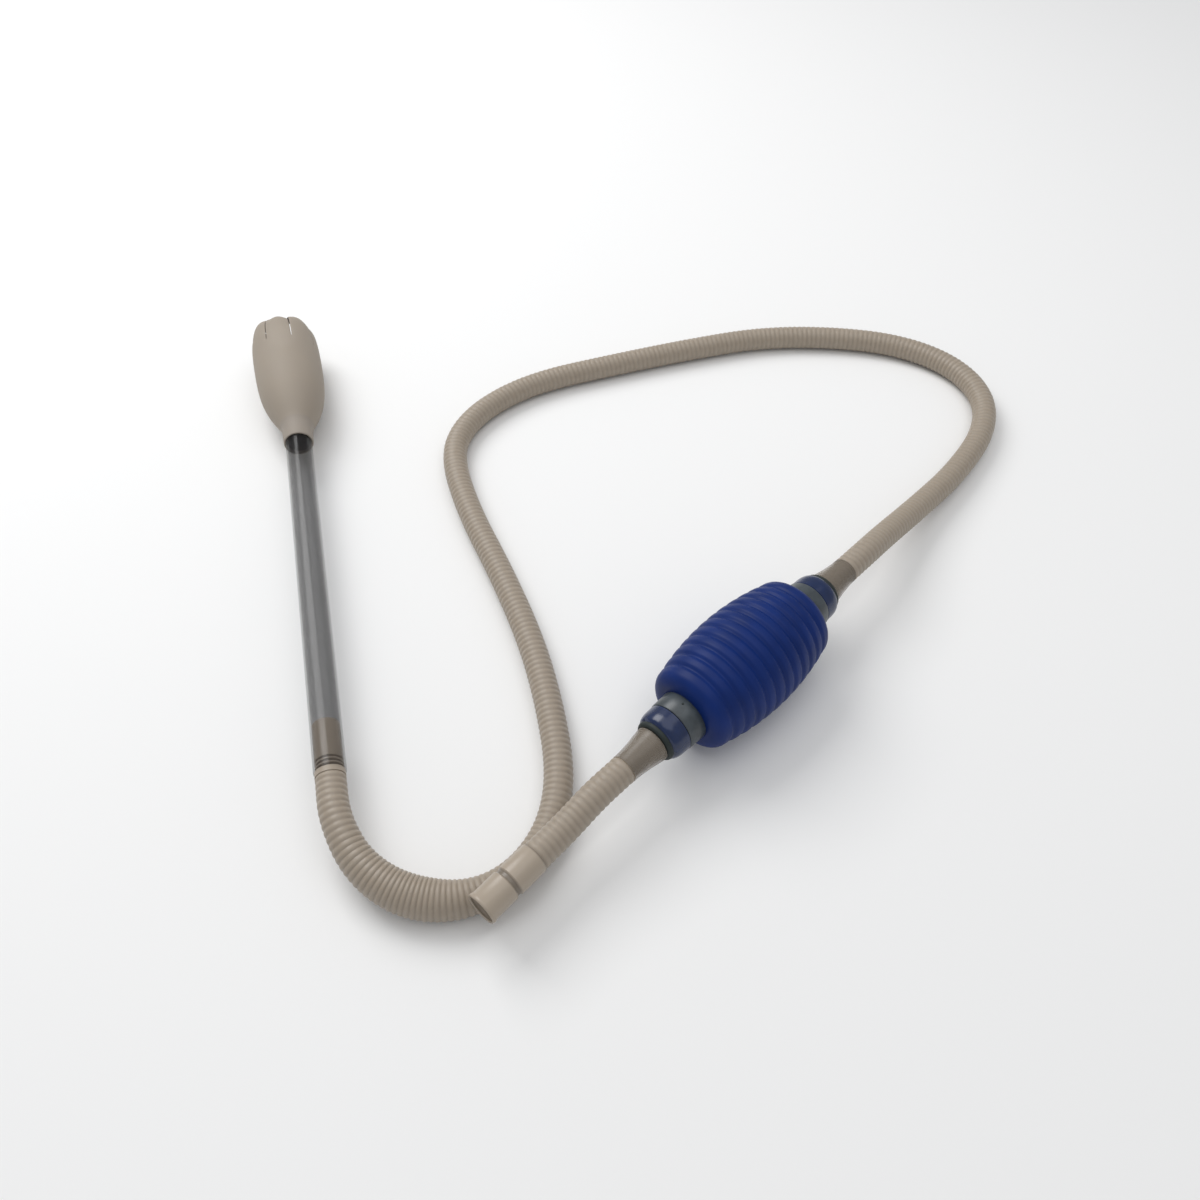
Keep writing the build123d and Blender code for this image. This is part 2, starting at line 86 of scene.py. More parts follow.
# ---------------------------------------------------------------- outlines shared with the CAD model, in mm
BULB_HALF = 44.8
BULB_RADIUS = 28.8
BULB_FALL = 0.0034  # the barrel's radius falls by this times the square of the distance
RIB_PITCH = 7.05
RIBS_EACH_SIDE = 5.5
HOSE_RADIUS = 7.5
WAND_CUFF_DEPTH = 28.0
HOSE_END_START, HOSE_END_FINISH = 67.8, 88.0  # the flared end butts against the seal
OUTLET_CUFF_LENGTH = 34.0
NECK_SHADOW = 8.0  # how far past the strainer's foot the painted shade of the tube inside reaches

# The hoses' routes.  Each starts and ends with a straight smooth cuff.
INTAKE_ROUTE = [
    (-0.1335, -0.161, 0.022),
    (-0.1335, -0.184, 0.022),
    (-0.1255, -0.2075, 0.0155),
    (-0.107, -0.2245, 0.009),
    (-0.082, -0.232, 0.0075),
    (-0.0565, -0.2255, 0.0075),
    (-0.0355, -0.206, 0.0075),
    (-0.024, -0.177, 0.0075),
    (-0.021, -0.134, 0.0075),
    (-0.022, -0.092, 0.0075),
    (-0.029, -0.04, 0.0075),
    (-0.039, 0.013, 0.0075),
    (-0.042, 0.062, 0.0075),
    (-0.031, 0.089, 0.0075),
    (-0.007, 0.11, 0.0075),
    (0.028, 0.124, 0.0075),
    (0.079, 0.129, 0.0075),
    (0.135, 0.133, 0.0075),
    (0.191, 0.134, 0.0075),
    (0.242, 0.1215, 0.0075),
    (0.283, 0.102, 0.0075),
    (0.309, 0.0725, 0.0075),
    (0.315, 0.037, 0.0075),
    (0.299, 0.004, 0.0075),
    (0.262, -0.028, 0.0085),
    (0.223, -0.054, 0.013),
    (0.188, -0.079, 0.0235),
]
OUTLET_ROUTE = [
    (-0.0296, -0.2149, 0.0248),
    (-0.0463, -0.2257, 0.0242),
]
HOSE_LEAD = 20.0  # each hose leaves its nozzle straight for this far
CORRUGATED, CLEAR, MILKY, PALE_PAINTED_LIGHT = 0, 1, 2, 3  # the hoses' materials


# ---------------------------------------------------------------- colours and nodes
def linear(hex_colour):
    """An sRGB hex colour as linear red, green, blue and alpha."""
    channels = [int(hex_colour[start : start + 2], 16) / 255 for start in (1, 3, 5)]
    return (*(c / 12.92 if c <= 0.04045 else ((c + 0.055) / 1.055) ** 2.4 for c in channels), 1.0)


def linear_tuple(colour):
    """A property's colour, as a plain tuple with alpha."""
    return (*colour[:3], 1.0)


def add_node(material, kind, settings=(), links=()):
    """Adds a node, sets its properties or inputs by name, and links its inputs to outputs of others."""
    node = material.node_tree.nodes.new(kind)
    for name, value in dict(settings).items():
        if name in node.inputs:
            node.inputs[name].default_value = value
        else:
            setattr(node, name, value)
    for name, source in dict(links).items():
        material.node_tree.links.new(source, node.inputs[name])
    return node


def new_material(name, **values):
    """A material and its Principled shader.  The values go to its sockets: Base_Color is Base Color."""
    material = bpy.data.materials.new(name)
    material.use_nodes = True
    shader = material.node_tree.nodes["Principled BSDF"]
    for socket, value in values.items():
        shader.inputs[socket.replace("_", " ")].default_value = value
    return material, shader


def object_noise(material, size_mm, detail=2.0, roughness=0.5):
    """Noise on Object coordinates whose lumps are about size_mm across."""
    place = add_node(material, "ShaderNodeTexCoord")
    settings = {"Scale": 1 / (size_mm * MM), "Detail": detail, "Roughness": roughness}
    return add_node(material, "ShaderNodeTexNoise", settings, {"Vector": place.outputs["Object"]})


def widened(material, noise):
    """The noise's factor, which mostly lies between 0.3 and 0.7, stretched over 0 to 1."""
    return remapped(material, noise.outputs["Fac"], 0.3, 0.7, 0.0, 1.0)


def tint_between(material, shader, dark, light, factor):
    """Feeds Base Color with a mix from dark to light."""
    mix = add_node(material, "ShaderNodeMix", {"data_type": "RGBA"})
    factor_socket, dark_socket, light_socket = mix.inputs[0], mix.inputs[6], mix.inputs[7]
    dark_socket.default_value = dark
    light_socket.default_value = light
    material.node_tree.links.new(factor, factor_socket)
    material.node_tree.links.new(mix.outputs[2], shader.inputs["Base Color"])


def bump(material, shader, height, depth_mm, strength=1.0):
    """Feeds Normal with a bump that stands depth_mm high where the height is 1."""
    settings = {"Strength": strength, "Distance": depth_mm * MM}
    node = add_node(material, "ShaderNodeBump", settings, {"Height": height})
    material.node_tree.links.new(node.outputs["Normal"], shader.inputs["Normal"])


def shade(colour, factor):
    """The colour with each channel times the factor."""
    return (*(channel * factor for channel in colour[:3]), 1.0)


def remapped(material, value, low, high, to_low, to_high):
    """The value with the range from low to high stretched over to_low to to_high, and clamped there."""
    settings = {"From Min": low, "From Max": high, "To Min": to_low, "To Max": to_high}
    return add_node(material, "ShaderNodeMapRange", settings, {"Value": value}).outputs["Result"]


# ---------------------------------------------------------------- materials
def corrugated_vinyl(colours):
    """Blow-moulded soft PVC: milky and soft-edged, with painted shade in the valleys and faint painted light
    on the crests.
    """
    material, shader = new_material(
        "blow_moulded_soft_pvc", Roughness=0.42, IOR=1.52, Subsurface_Weight=0.35, Specular_IOR_Level=0.4
    )
    shader.inputs["Subsurface Radius"].default_value = (0.004, 0.0035, 0.003)
    crest = add_node(material, "ShaderNodeAttribute", {"attribute_name": "painted_shade_relief"})
    tint = linear_tuple(colours.hose)
    # Painted shade: the valleys between the corrugations are darker, and the crests a little lighter.
    tint_between(material, shader, shade(tint, 0.9), shade(tint, 1.03), crest.outputs["Fac"])
    cloud = object_noise(material, 9.0)
    bump(material, shader, cloud.outputs["Fac"], 0.12, 0.5)
    return material


def smooth_vinyl(colours, name, opacity, brightness):
    """The hose's smooth parts: the same soft PVC, shinier than the ribs, with painted shade in the grooves.

    The opacity says how much of what lies behind shows, and the brightness how milky the wall is. In the pale
    copy, for the cuff inside the wand, the brightness is painted light that makes up for the shade of the
    wand's walls.
    """
    material, shader = new_material(name, Roughness=0.28, IOR=1.52, Specular_IOR_Level=0.4, Alpha=opacity)
    crest = add_node(material, "ShaderNodeAttribute", {"attribute_name": "painted_shade_relief"})
    tint = linear_tuple(colours.hose)
    # Painted shade: rings with no relief, the grooves, get half the colour.
    groove, wall = shade(tint, 0.5 * brightness), shade(tint, brightness)
    tint_between(material, shader, groove, wall, crest.outputs["Fac"])
    cloud = object_noise(material, 7.0)
    bump(material, shader, cloud.outputs["Fac"], 0.1, 0.5)
    return material


def clear_acrylic(colours):
    """Extruded clear tube with a grey tint, and faint draw lines along it that stretch the highlights."""
    material, shader = new_material("extruded_clear_acrylic", Roughness=0.18, IOR=1.46, Alpha=0.31)
    tint = linear_tuple(colours.wand)
    place = add_node(material, "ShaderNodeTexCoord")
    stretch = add_node(
        material, "ShaderNodeMapping", {"Scale": (900.0, 6.0, 900.0)}, {"Vector": place.outputs["Object"]}
    )
    lines = add_node(
        material, "ShaderNodeTexNoise", {"Scale": 1.0, "Detail": 2.0}, {"Vector": stretch.outputs["Vector"]}
    )
    tint_between(material, shader, shade(tint, 0.88), shade(tint, 1.12), lines.outputs["Fac"])
    bump(material, shader, lines.outputs["Fac"], 0.05, 0.35)
    return material


def smoky_nozzle(colours):
    """Injection-moulded smoky styrene: glossy, darker and lighter in cloudy patches."""
    material, shader = new_material("moulded_smoky_styrene", Roughness=0.14, IOR=1.5)
    tint = linear_tuple(colours.nozzle)
    flow = object_noise(material, 6.0)
    tint_between(material, shader, shade(tint, 0.5), shade(tint, 1.7), widened(material, flow))
    return material


def frosted_polyethylene(colours):
    """Moulded low-density polyethylene: waxy and cloudy, with painted shade over the neck, where the tube
    inside lies.
    """
    material, shader = new_material(
        "moulded_frosted_polyethylene", Roughness=0.6, IOR=1.51, Specular_IOR_Level=0.3, Alpha=0.88
    )
    tint = linear_tuple(colours.strainer)
    cloud = object_noise(material, 12.0, detail=3.0)
    place = add_node(material, "ShaderNodeTexCoord")
    axes = add_node(material, "ShaderNodeSeparateXYZ", {}, {"Vector": place.outputs["Object"]})
    # Painted shade over the neck, where the tube inside lies, fading out past the tube's end.
    shadow_end = STRAINER_FOOT.y + NECK_SHADOW * MM
    blur, mottle_share = 0.8 * MM, 0.28
    past_painted_shade = remapped(
        material, axes.outputs["Y"], shadow_end - blur, shadow_end + blur, 0.0, 1 - mottle_share
    )
    mottle = remapped(material, cloud.outputs["Fac"], 0.3, 0.7, 0.0, mottle_share)
    sum_of_both = add_node(material, "ShaderNodeMath", {"operation": "ADD"})
    material.node_tree.links.new(past_painted_shade, sum_of_both.inputs[0])
    material.node_tree.links.new(mottle, sum_of_both.inputs[1])
    # Painted shade: over the tube inside, the colour is a little darker and cooler.
    neck = (tint[0] * 0.92, tint[1] * 0.94, tint[2] * 0.99, 1.0)
    tint_between(material, shader, neck, shade(tint, 1.0), sum_of_both.outputs[0])
    grain = object_noise(material, 0.9, detail=3.0)
    bump(material, shader, grain.outputs["Fac"], 0.05, 0.35)
    return material


def bulb_vinyl(colours):
    """Blow-moulded plasticised PVC: satin, with soft lumps a few millimetres across."""
    material, shader = new_material(
        "blow_moulded_blue_pvc", Roughness=0.45, IOR=1.5, Specular_IOR_Level=0.18
    )
    tint = linear_tuple(colours.bulb)
    cloud = object_noise(material, 14.0, detail=3.0)
    tint_between(material, shader, shade(tint, 0.88), shade(tint, 1.12), widened(material, cloud))
    lumps = object_noise(material, 2.5, detail=2.0)
    bump(material, shader, lumps.outputs["Fac"], 0.06, 0.35)
    return material


def collar_plastic(colours):
    """Moulded natural polypropylene, greyed by the dark seal and seat inside it."""
    material, shader = new_material("moulded_natural_polypropylene", Roughness=0.32, IOR=1.49)
    tint = linear_tuple(colours.collar)
    cloud = object_noise(material, 5.0, detail=3.0)
    tint_between(material, shader, shade(tint, 0.78), shade(tint, 1.2), widened(material, cloud))
    bump(material, shader, cloud.outputs["Fac"], 0.1, 0.5)
    return material


def cap_plastic(colours):
    """Polished blue styrene: hard, with small bright lamp highlights broken by a slight moulding wave."""
    material, shader = new_material(
        "polished_blue_styrene", Roughness=0.25, IOR=1.55, Specular_IOR_Level=0.35,
        Coat_Weight=0.25, Coat_Roughness=0.1,
    )
    tint = linear_tuple(colours.cap)
    wave = object_noise(material, 4.0)
    tint_between(material, shader, shade(tint, 0.75), shade(tint, 1.35), wave.outputs["Fac"])
    bump(material, shader, wave.outputs["Fac"], 0.15, 0.6)
    return material


def seal_rubber(colours):
    """Moulded nitrile seal: dark, matte, with a dusty bloom."""
    material, shader = new_material(
        "moulded_nitrile_rubber", Roughness=0.55, IOR=1.5, Specular_IOR_Level=0.3
    )
    tint = linear_tuple(colours.seal)
    bloom = object_noise(material, 1.6, detail=4.0)
    tint_between(material, shader, shade(tint, 0.8), shade(tint, 1.3), bloom.outputs["Fac"])
    bump(material, shader, bloom.outputs["Fac"], 0.05, 0.5)
    return material


def valve_plastic(colours):
    """Moulded white acetal: hard and slightly waxy."""
    material, shader = new_material("moulded_white_acetal", Roughness=0.3, IOR=1.48)
    tint = linear_tuple(colours.valve)
    flow = object_noise(material, 3.0)
    tint_between(material, shader, shade(tint, 0.94), tint, flow.outputs["Fac"])
    return material


# ---------------------------------------------------------------- mesh helpers
def axial(origin, direction):
    """The matrix whose X runs along a turned piece's axis and whose Z leans upwards."""
    along = Vector(direction).normalized()
    across = Vector((0, 0, 1)).cross(along).normalized()
    place = Matrix((along, across, along.cross(across))).transposed().to_4x4()
    place.translation = origin
    return place


WAND_PLACE = axial(WAND_FOOT, (0, 1, 0))
STRAINER_PLACE = axial(STRAINER_FOOT, (0, 1, 0))
INLET_PLACE = axial(BULB_CENTRE, BULB_AXIS)
OUTLET_PLACE = axial(BULB_CENTRE, -BULB_AXIS)


def turned(outline, place, closed=True, rounding=0.0, steps=ROUND_STEPS):
    """A bmesh of an outline spun round X, then put in its place.  rounding, in mm, eases its corners."""
    bm = bmesh.new()
    points = [bm.verts.new((distance * MM, 0, radius * MM)) for distance, radius in outline]
    followers = points[1:] + points[:1] if closed else points[1:]
    for start, end in zip(points, followers):
        bm.edges.new((start, end))
    if rounding:
        corners = points if closed else points[1:-1]
        bmesh.ops.bevel(
            bm, geom=corners, offset=rounding * MM, segments=3, profile=0.5, affect="VERTICES", material=-1
        )
    bmesh.ops.spin(
        bm, geom=bm.verts[:] + bm.edges[:], axis=(1, 0, 0), angle=tau, steps=steps, use_merge=True
    )
    bmesh.ops.remove_doubles(bm, verts=bm.verts[:], dist=1e-6)
    bmesh.ops.recalc_face_normals(bm, faces=bm.faces[:])
    bmesh.ops.transform(bm, matrix=place, verts=bm.verts[:])
    return bm


def add_piece(name, bm, materials, body, nodes):
    """Makes the bmesh a smooth-shaded piece that rides on a body and stands for CAD nodes."""
    for face in bm.faces:
        face.smooth = True
    for edge in bm.edges:
        edge.smooth = edge.calc_face_angle(0.0) < SHARP_ANGLE
    mesh = bpy.data.meshes.new(name)
    bm.to_mesh(mesh)
    bm.free()
    for material in materials:
        mesh.materials.append(material)
    piece = bpy.data.objects.new(name, mesh)
    bpy.context.scene.collection.objects.link(piece)
    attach(piece, body)
    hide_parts(*nodes)
    return piece


# ---------------------------------------------------------------- hoses
def route_line(route):
    """Points of the smooth NURBS line that the route's points control."""
    curve = bpy.data.curves.new("route", "CURVE")
    curve.dimensions = "3D"
    curve.resolution_u = 48
    spline = curve.splines.new("NURBS")
    spline.points.add(len(route) - 1)
    for point, place in zip(spline.points, route):
        point.co = (*place, 1.0)
    spline.order_u = 3
    spline.use_endpoint_u = True
    holder = bpy.data.objects.new("route", curve)
    mesh = bpy.data.meshes.new_from_object(holder)
    line = [vertex.co.copy() for vertex in mesh.vertices]
    bpy.data.objects.remove(holder)
    bpy.data.curves.remove(curve)
    bpy.data.meshes.remove(mesh)
    return line


class Line:
    """A line that can be read at any distance along it, with a frame that doesn't twist."""

    def __init__(self, points):
        self.points = [points[0]]
        for point in points[1:]:
            if (point - self.points[-1]).length > 1e-7:
                self.points.append(point)
        self.along = [0.0]
        for start, end in zip(self.points, self.points[1:]):
            self.along.append(self.along[-1] + (end - start).length)
        self.length = self.along[-1]
        self.ahead = [(b - a).normalized() for a, b in zip(self.points, self.points[1:])]
        side = Vector((0, 0, 1)).cross(self.ahead[0]).normalized()
        self.sides = [side]
        for before, after in zip(self.ahead, self.ahead[1:]):
            side = before.rotation_difference(after) @ side
            self.sides.append(side)

    def at(self, distance):
        """The point, the direction ahead, the sideways direction and the upward one at a distance."""
        step = min(max(bisect_right(self.along, distance) - 1, 0), len(self.ahead) - 1)
        share = (distance - self.along[step]) / (self.along[step + 1] - self.along[step])
        point = self.points[step].lerp(self.points[step + 1], share)
        last = len(self.ahead) - 1
        ahead = self.ahead[step].lerp(self.ahead[min(step + 1, last)], share).normalized()
        side = self.sides[step].lerp(self.sides[min(step + 1, last)], share)
        side = (side - ahead * side.dot(ahead)).normalized()
        return point, ahead, side, ahead.cross(side)


def hose_mesh(line, stations, steps, swell):
    """A tube along the line, open at both ends.

    Each station is a distance and a radius in metres, the relief that also sets the painted shade, and the
    number of the material there.
    swell gives how wide and how tall the tube is at a distance, against its radius.  Its underside stays put.
    """
    bm = bmesh.new()
    painted_shade_relief = bm.verts.layers.float.new("painted_shade_relief")
    bmesh.ops.create_grid(bm, x_segments=len(stations) - 1, y_segments=steps, size=0.5)
    finish_of = {}
    for vertex in bm.verts:
        ring = round((vertex.co.x + 0.5) * (len(stations) - 1))
        angle = (vertex.co.y + 0.5) * tau
        distance, radius, height, finish = stations[ring]
        point, _, side, up = line.at(distance)
        wide, tall = swell(distance)
        out = side * (cos(angle) * wide) + up * (sin(angle) * tall)
        vertex[painted_shade_relief] = height
        finish_of[vertex] = finish
        vertex.co = point + up * (radius * (tall - 1)) + out * radius
    for face in bm.faces:
        face.material_index = min(finish_of[vertex] for vertex in face.verts)
    bmesh.ops.remove_doubles(bm, verts=bm.verts[:], dist=1e-6)
    bmesh.ops.recalc_face_normals(bm, faces=bm.faces[:])
    return bm


def corrugations(start, finish, sizes, pitch_at):
    """Stations of rings whose crests are wider than their valleys, with a pitch given at each distance."""
    per_rib = 6
    distances = [start]
    while distances[-1] + pitch_at(distances[-1]) * 0.5 < finish:
        pitch = pitch_at(distances[-1])
        distances += [distances[-1] + pitch * (step + 1) / per_rib for step in range(per_rib)]
    spare = (finish - start) / (distances[-1] - start)
    stations = []
    for index, distance in enumerate(distances):
        crest = 0.5 - 0.5 * cos(tau * index / per_rib)
        height = crest**0.6
        radius = HOSE_RADIUS * MM - sizes.rib_depth * (1 - height)
        stations.append((start + (distance - start) * spare, radius, height, CORRUGATED))
    return stations


def plain(outline, finish, full_radius=0.0):
    """Stations of a smooth part, from distance and radius in mm.  Rings under full_radius have no relief, and
    get painted groove shade.
    """
    stations = []
    for distance, radius in outline:
        painted_shade_relief = 1.0 if radius >= full_radius else 0.0
        stations.append((distance * MM, radius * MM, painted_shade_relief, finish))
    return stations


# ---------------------------------------------------------------- settings
class SiphonSizes(bpy.types.PropertyGroup):
    """Sizes of the moulded detail that can change without moving a fitted face."""

    rib_pitch: FloatProperty(
        name="Hose rib pitch", description="Distance between the hose's corrugations", default=0.0033,
        unit="LENGTH",
    )
    rib_depth: FloatProperty(
        name="Hose rib depth", description="Depth of the valleys between corrugations", default=0.0004,
        unit="LENGTH",
    )
    bulb_groove: FloatProperty(
        name="Bulb groove depth", description="Depth of the grooves round the bulb", default=0.0011,
        unit="LENGTH",
    )
    petal_scallop: FloatProperty(
        name="Petal scallop", description="How far each petal's tip stands past its sides", default=0.0022,
        unit="LENGTH",
    )


class SiphonColours(bpy.types.PropertyGroup):
    """Colours of the siphon's plastics."""

    strainer: FloatVectorProperty(
        name="Strainer", description="Frosted polyethylene", default=linear("#a4998b")[:3], subtype="COLOR"
    )
    wand: FloatVectorProperty(
        name="Wand", description="Tint of the clear tube", default=linear("#262424")[:3], subtype="COLOR"
    )
    hose: FloatVectorProperty(
        name="Hose", description="Milky soft PVC", default=linear("#a09485")[:3], subtype="COLOR"
    )
    bulb: FloatVectorProperty(
        name="Bulb", description="Blue PVC", default=linear("#092766")[:3], subtype="COLOR"
    )
    collar: FloatVectorProperty(
        name="Collar", description="Natural polypropylene", default=linear("#3f464a")[:3], subtype="COLOR"
    )
    cap: FloatVectorProperty(
        name="Cap", description="Polished blue styrene", default=linear("#0b2148")[:3], subtype="COLOR"
    )
    nozzle: FloatVectorProperty(
        name="Nozzle", description="Smoky styrene", default=linear("#313437")[:3], subtype="COLOR"
    )
    seal: FloatVectorProperty(
        name="Seal", description="Nitrile rubber", default=linear("#262d2c")[:3], subtype="COLOR"
    )
    valve: FloatVectorProperty(
        name="Valve", description="White acetal", default=linear("#d9dad6")[:3], subtype="COLOR"
    )
    floor: FloatVectorProperty(
        name="Floor", description="Pale studio floor", default=linear("#f2f2f1")[:3], subtype="COLOR"
    )


# ---------------------------------------------------------------- operators
def no_swell(_):
    """A hose that is round, with its own radius, all along."""
    return 1.0, 1.0


class SIPHON_OT_hoses(bpy.types.Operator):
    """Build the long intake hose and the short outlet hose, each with its smooth cuffs"""

    bl_idname = "siphon.hoses"
    bl_label = "Hoses"

    def execute(self, context):
        sizes = context.scene.siphon_sizes
        colours = context.scene.siphon_colours
        materials = [
            corrugated_vinyl(colours),
            smooth_vinyl(colours, "clear_moulded_soft_pvc", 0.5, 0.8),
            smooth_vinyl(colours, "milky_moulded_soft_pvc", 0.9, 1.22),
            # The pale copy is painted light: the cuff inside the wand lightened against the shade of the
            # wand's walls.
            smooth_vinyl(colours, "pale_painted_light_soft_pvc", 1.0, 1.9),
        ]
        self.intake(sizes, materials)
        self.outlet(sizes, materials)
        return {"FINISHED"}

    def intake(self, sizes, materials):
        cuff_tip = WAND_PLACE @ Vector((WAND_CUFF_DEPTH * MM, 0, 0))
        lead = [INLET_PLACE @ Vector((distance * MM, 0, 0)) for distance in
                (HOSE_END_FINISH + HOSE_LEAD, HOSE_END_FINISH, HOSE_END_START)]
        line = Line(route_line([cuff_tip, *INTAKE_ROUTE, *lead]))
        # The cuff's grip rings sit just inside the wand's end, and a full-size collar meets that end.
        inside, collar = 6.95, WAND_CUFF_DEPTH + 3.0
        cuff = [(0, 6.4), (0.3, 6.6), (1.0, inside), (21.4, inside)]
        grips, first_grip, grip_pitch, grip_depth = 3, 22.5, 2.2, 0.8
        for grip in range(grips):
            middle = first_grip + grip_pitch * grip
            valley = inside - grip_depth
            cuff += [(middle - 0.7, inside), (middle - 0.25, valley), (middle + 0.25, valley)]
            cuff += [(middle + 0.7, inside)]
        rim = [(WAND_CUFF_DEPTH, inside), (WAND_CUFF_DEPTH + 0.05, HOSE_RADIUS), (collar, HOSE_RADIUS)]
        flare = line.length - (HOSE_END_FINISH - HOSE_END_START) * MM
        # The cuff inside the wand: painted light all over, and painted shade in its grip rings.
        stations = plain(cuff, PALE_PAINTED_LIGHT, full_radius=inside - 0.6)
        stations += plain(rim, CORRUGATED)
        # The bend under the wand is pushed together: its corrugations are closer and stand wider.
        bend, reach_before, reach_after = 0.110, 0.036, 0.028
        crowding, widening, heightening = 0.25, 0.34, 0.25

        def squeezed(distance):
            reach = reach_before if distance < bend else reach_after
            return exp(-(((distance - bend) / reach) ** 2))

        def pitch_at(distance):
            return sizes.rib_pitch * (1 - crowding * squeezed(distance))

        def swell(distance):
            return 1 + widening * squeezed(distance), 1 + heightening * squeezed(distance)

        stations += corrugations(collar * MM, flare, sizes, pitch_at)
        stations += self.flare(flare / MM)

        bm = hose_mesh(line, stations, 20, swell)
        piece = add_piece("intake_hose_moulded", bm, materials, "inlet_side",
                          ["wand_cuff", "intake_hose", "inlet_hose_end"])
        self.give_wall(piece, 0.9)

    def outlet(self, sizes, materials):
        lead = [OUTLET_PLACE @ Vector((distance * MM, 0, 0)) for distance in
                (HOSE_END_START, HOSE_END_FINISH, HOSE_END_FINISH + HOSE_LEAD)]
        last, before = Vector(OUTLET_ROUTE[-1]), Vector(OUTLET_ROUTE[-2])
        tip = last + (last - before).normalized() * (OUTLET_CUFF_LENGTH * MM)
        line = Line(route_line([*lead, *OUTLET_ROUTE, tip]))
        start = HOSE_END_FINISH - HOSE_END_START
        cuff_start = line.length / MM - OUTLET_CUFF_LENGTH
        smooth, groove = 7.9, 0.75
        lip = 8.3
        cuff = [(0.15, HOSE_RADIUS), (1.2, smooth), (15.3, smooth), (16.2, smooth - groove)]
        cuff += [(17.8, smooth - groove), (18.7, smooth), (31.4, smooth), (32.2, lip), (33.3, lip)]
        cuff += [(OUTLET_CUFF_LENGTH, smooth)]
        stations = self.flare(0, forwards=False)
        stations += corrugations(start * MM, cuff_start * MM, sizes, lambda distance: sizes.rib_pitch)
        cuff = [(cuff_start + distance, radius) for distance, radius in cuff]
        # The cuff's groove gets painted shade.
        stations += plain(cuff, MILKY, full_radius=smooth - groove / 2)
        stations[-1] = (line.length, *stations[-1][1:])
        bm = hose_mesh(line, stations, 28, no_swell)
        piece = add_piece("outlet_hose_moulded", bm, materials, "outlet_side",
                          ["outlet_hose_end", "outlet_hose", "outlet_cuff"])
        self.give_wall(piece, 1.1)

    def flare(self, start, forwards=True):
        """Stations of the smooth end that widens over the nozzle's barbs."""
        long = HOSE_END_FINISH - HOSE_END_START
        outline = [(0.1, HOSE_RADIUS), (3.5, 7.6), (7, 7.9), (11, 8.4), (15, 9.1), (18.5, 9.6)]
        outline += [(long - 0.3, 9.7), (long, 9.4)]
        if not forwards:
            outline = [(long - distance, radius) for distance, radius in reversed(outline)]
        return plain([(start + distance, radius) for distance, radius in outline], CLEAR)

    def give_wall(self, piece, thickness):
        """Thickens the tube inwards by the thickness in mm, which also closes its ends."""
        wall = piece.modifiers.new("wall", "SOLIDIFY")
        wall.thickness = thickness * MM
        wall.offset = -1.0


class SIPHON_OT_wand(bpy.types.Operator):
    """Build the rigid clear wand"""

    bl_idname = "siphon.wand"
    bl_label = "Wand"

    def execute(self, context):
        outer, bore, edge = 8.0, 7.0, 0.3
        outline = [
            (0, bore),
            (0, outer - edge),
            (edge, outer),
            (TUBE_LENGTH_MM - edge, outer),
            (TUBE_LENGTH_MM, outer - edge),
            (TUBE_LENGTH_MM, bore),
        ]
        bm = turned(outline, WAND_PLACE)
        add_piece("wand_clear_tube", bm, [clear_acrylic(context.scene.siphon_colours)], "wand",
                  ["wand_tube"])
        return {"FINISHED"}


